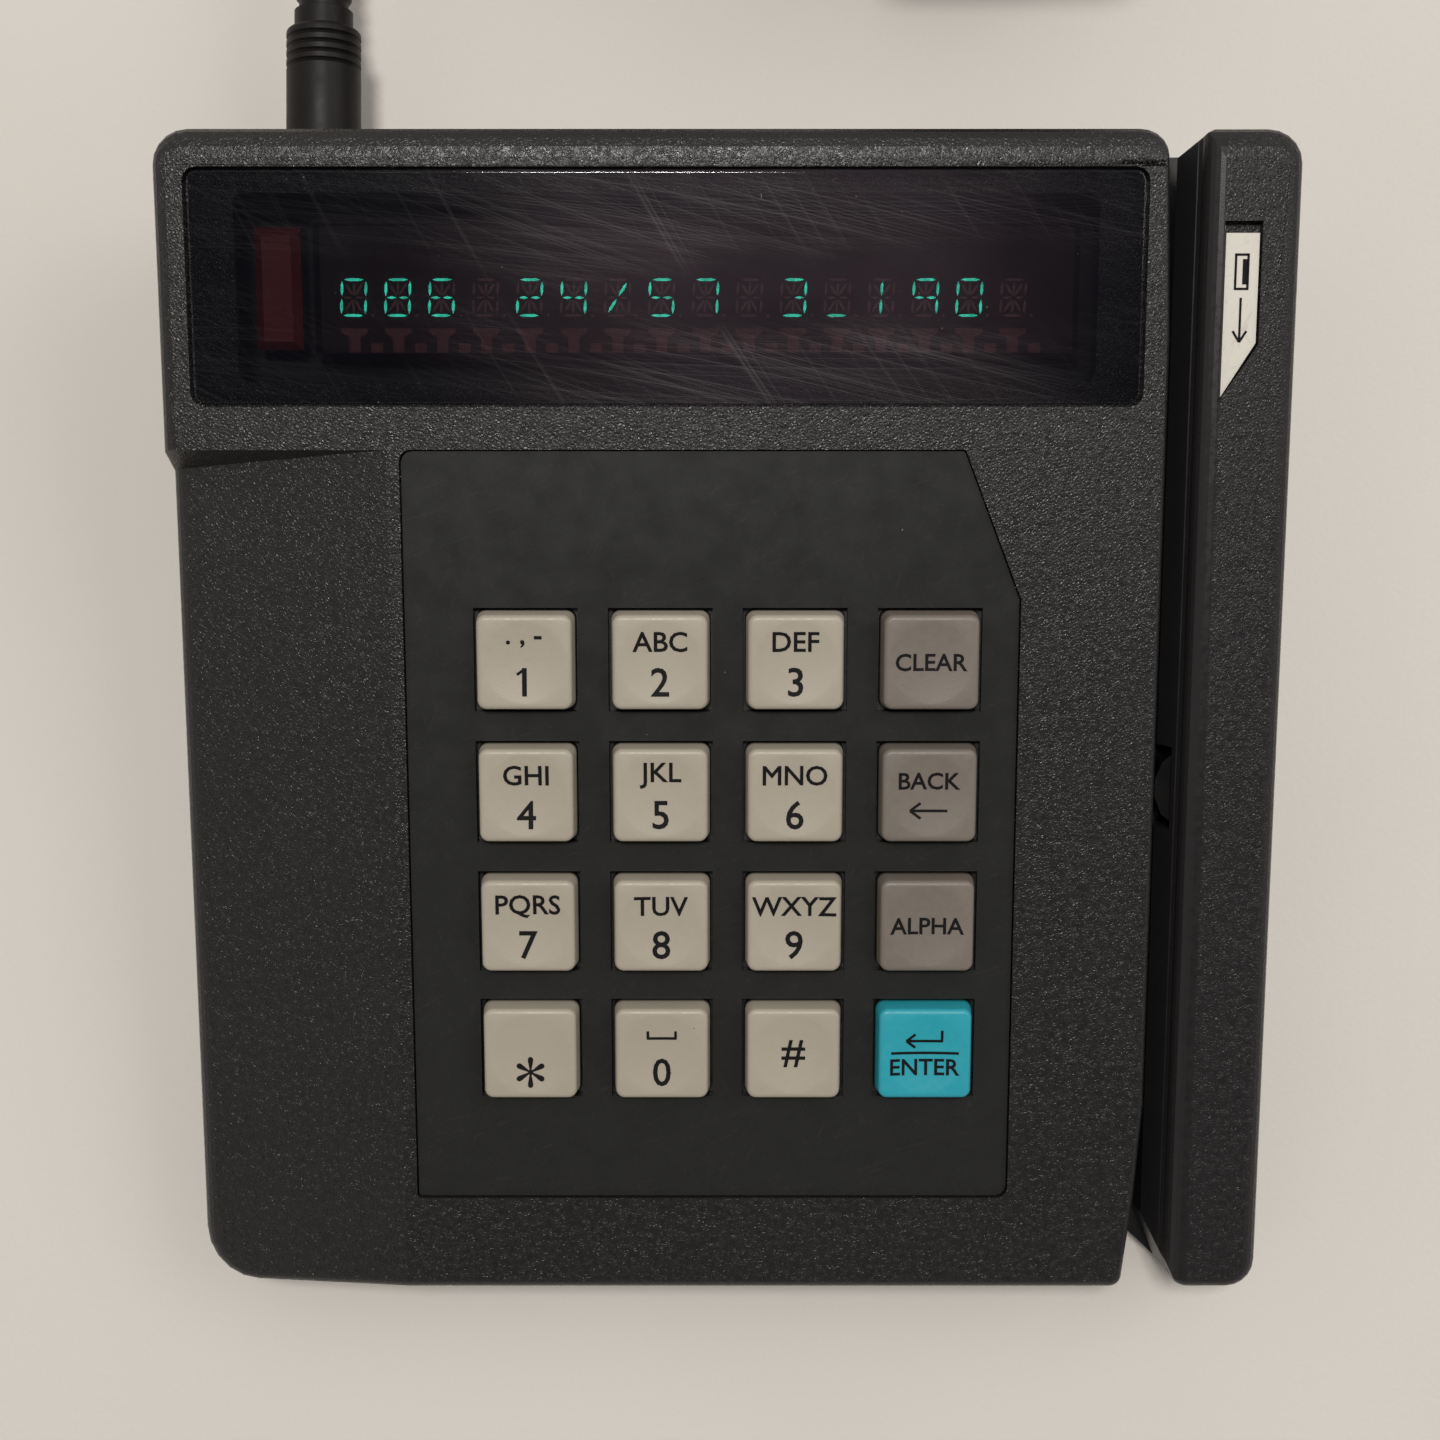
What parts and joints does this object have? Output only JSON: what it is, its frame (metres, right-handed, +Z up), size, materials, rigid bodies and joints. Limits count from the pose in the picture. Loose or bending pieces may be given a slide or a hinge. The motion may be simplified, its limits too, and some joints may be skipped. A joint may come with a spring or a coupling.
{
  "type": "card payment terminal",
  "caption": "Countertop swipe card terminal: charcoal wedge case, smoked display window, square keys, magnetic reader rail along one side, and a corded wall adapter.",
  "frame": {"origin": "bottom centre of the terminal's own box, on the surface its feet stand on; the power cord and its adapter are left out of that box", "axes": "+X to the reader rail, +Y to the rear edge with the display and the ports, +Z up"},
  "size_m": [0.1574, 0.2965, 0.0477],
  "materials": {
    "case": "leather-grained charcoal plastic",
    "case_smooth": "smooth charcoal plastic, polished by cards",
    "bezel": "satin charcoal plastic with fine scratches",
    "smoked_window": "glossy smoked acrylic",
    "tube_glass": "clear glass",
    "tube_plate": "dark glass plate with lead frame",
    "inverter": "red moulded block",
    "key_grey": "warm light grey satin plastic",
    "key_taupe": "taupe satin plastic",
    "key_cyan": "cyan satin plastic",
    "mat_rubber": "moulded silicone",
    "board_green": "green solder mask",
    "chip_black": "black moulded plastic",
    "ribbon_grey": "grey flat cable jacket",
    "metal": "plated steel",
    "brass": "plain brass",
    "aluminium": "bare aluminium",
    "rubber_black": "black rubber",
    "label_white": "warm white printed plastic",
    "cord_black": "black flexible jacket",
    "adapter_black": "black moulded plastic"
  },
  "bodies": {
    "terminal": {"upper_case": "case", "base_case": "case", "rail_cover": "case", "card_track": "case_smooth", "slot_floor": "case_smooth", "direction_label": "label_white", "foot_front_left": "rubber_black", "foot_front_right": "rubber_black", "foot_rear_left": "rubber_black", "foot_rear_right": "rubber_black", "case_screw_front_left": "metal", "case_screw_front_right": "metal", "case_screw_rear_left": "metal", "case_screw_rear_right": "metal", "keypad_bezel": "bezel", "key_mat": "mat_rubber", "keypad_board": "board_green", "display_lens": "smoked_window", "display_tube_cover": "tube_glass", "display_tube_plate": "tube_plate", "display_board": "board_green", "display_inverter": "inverter", "main_board": "board_green", "processor_chip": "chip_black", "memory_chip": "chip_black", "modem_transformer": "metal", "backup_battery": "metal", "beeper": "chip_black", "regulator_heatsink": "aluminium", "jack_block": "chip_black", "serial_port": "chip_black", "power_jack": "chip_black", "head_spring": "metal", "display_ribbon": "ribbon_grey", "keypad_ribbon": "ribbon_grey", "head_cable": "cord_black", "power_plug": "cord_black", "power_cord": "cord_black", "power_cord_coil": "cord_black", "power_cord_tail": "cord_black", "cord_tie": "cord_black", "adapter_case": "adapter_black", "adapter_blades": "brass"},
    "key_1": {"key_1": "key_grey"},
    "key_2": {"key_2": "key_grey"},
    "key_3": {"key_3": "key_grey"},
    "key_4": {"key_4": "key_grey"},
    "key_5": {"key_5": "key_grey"},
    "key_6": {"key_6": "key_grey"},
    "key_7": {"key_7": "key_grey"},
    "key_8": {"key_8": "key_grey"},
    "key_9": {"key_9": "key_grey"},
    "key_0": {"key_0": "key_grey"},
    "key_star": {"key_star": "key_grey"},
    "key_hash": {"key_hash": "key_grey"},
    "key_clear": {"key_clear": "key_taupe"},
    "key_back": {"key_back": "key_taupe"},
    "key_alpha": {"key_alpha": "key_taupe"},
    "key_enter": {"key_enter": "key_cyan"},
    "mag_head": {"mag_head": "metal"}
  },
  "joints": [
    {"name": "key_1_press", "type": "slide", "parent": "terminal", "child": "key_1", "axis": [0, 0.1599, -0.9871], "range_m": [0, 0.0025], "stiffness_N_per_m": 230, "springref_m": -0.0004, "deforming": ["key_mat"]},
    {"name": "key_2_press", "type": "slide", "parent": "terminal", "child": "key_2", "axis": [0, 0.1599, -0.9871], "range_m": [0, 0.0025], "stiffness_N_per_m": 230, "springref_m": -0.0004, "deforming": ["key_mat"]},
    {"name": "key_3_press", "type": "slide", "parent": "terminal", "child": "key_3", "axis": [0, 0.1599, -0.9871], "range_m": [0, 0.0025], "stiffness_N_per_m": 230, "springref_m": -0.0004, "deforming": ["key_mat"]},
    {"name": "key_4_press", "type": "slide", "parent": "terminal", "child": "key_4", "axis": [0, 0.1599, -0.9871], "range_m": [0, 0.0025], "stiffness_N_per_m": 230, "springref_m": -0.0004, "deforming": ["key_mat"]},
    {"name": "key_5_press", "type": "slide", "parent": "terminal", "child": "key_5", "axis": [0, 0.1599, -0.9871], "range_m": [0, 0.0025], "stiffness_N_per_m": 230, "springref_m": -0.0004, "deforming": ["key_mat"]},
    {"name": "key_6_press", "type": "slide", "parent": "terminal", "child": "key_6", "axis": [0, 0.1599, -0.9871], "range_m": [0, 0.0025], "stiffness_N_per_m": 230, "springref_m": -0.0004, "deforming": ["key_mat"]},
    {"name": "key_7_press", "type": "slide", "parent": "terminal", "child": "key_7", "axis": [0, 0.1599, -0.9871], "range_m": [0, 0.0025], "stiffness_N_per_m": 230, "springref_m": -0.0004, "deforming": ["key_mat"]},
    {"name": "key_8_press", "type": "slide", "parent": "terminal", "child": "key_8", "axis": [0, 0.1599, -0.9871], "range_m": [0, 0.0025], "stiffness_N_per_m": 230, "springref_m": -0.0004, "deforming": ["key_mat"]},
    {"name": "key_9_press", "type": "slide", "parent": "terminal", "child": "key_9", "axis": [0, 0.1599, -0.9871], "range_m": [0, 0.0025], "stiffness_N_per_m": 230, "springref_m": -0.0004, "deforming": ["key_mat"]},
    {"name": "key_0_press", "type": "slide", "parent": "terminal", "child": "key_0", "axis": [0, 0.1599, -0.9871], "range_m": [0, 0.0025], "stiffness_N_per_m": 230, "springref_m": -0.0004, "deforming": ["key_mat"]},
    {"name": "key_star_press", "type": "slide", "parent": "terminal", "child": "key_star", "axis": [0, 0.1599, -0.9871], "range_m": [0, 0.0025], "stiffness_N_per_m": 230, "springref_m": -0.0004, "deforming": ["key_mat"]},
    {"name": "key_hash_press", "type": "slide", "parent": "terminal", "child": "key_hash", "axis": [0, 0.1599, -0.9871], "range_m": [0, 0.0025], "stiffness_N_per_m": 230, "springref_m": -0.0004, "deforming": ["key_mat"]},
    {"name": "key_clear_press", "type": "slide", "parent": "terminal", "child": "key_clear", "axis": [0, 0.1599, -0.9871], "range_m": [0, 0.0025], "stiffness_N_per_m": 230, "springref_m": -0.0004, "deforming": ["key_mat"]},
    {"name": "key_back_press", "type": "slide", "parent": "terminal", "child": "key_back", "axis": [0, 0.1599, -0.9871], "range_m": [0, 0.0025], "stiffness_N_per_m": 230, "springref_m": -0.0004, "deforming": ["key_mat"]},
    {"name": "key_alpha_press", "type": "slide", "parent": "terminal", "child": "key_alpha", "axis": [0, 0.1599, -0.9871], "range_m": [0, 0.0025], "stiffness_N_per_m": 230, "springref_m": -0.0004, "deforming": ["key_mat"]},
    {"name": "key_enter_press", "type": "slide", "parent": "terminal", "child": "key_enter", "axis": [0, 0.1599, -0.9871], "range_m": [0, 0.0025], "stiffness_N_per_m": 230, "springref_m": -0.0004, "deforming": ["key_mat"]},
    {"name": "mag_head_push", "type": "slide", "parent": "terminal", "child": "mag_head", "axis": [1, 0, 0], "range_m": [0, 0.001], "stiffness_N_per_m": 700, "springref_m": -0.0006, "deforming": ["head_spring"]}
  ]
}
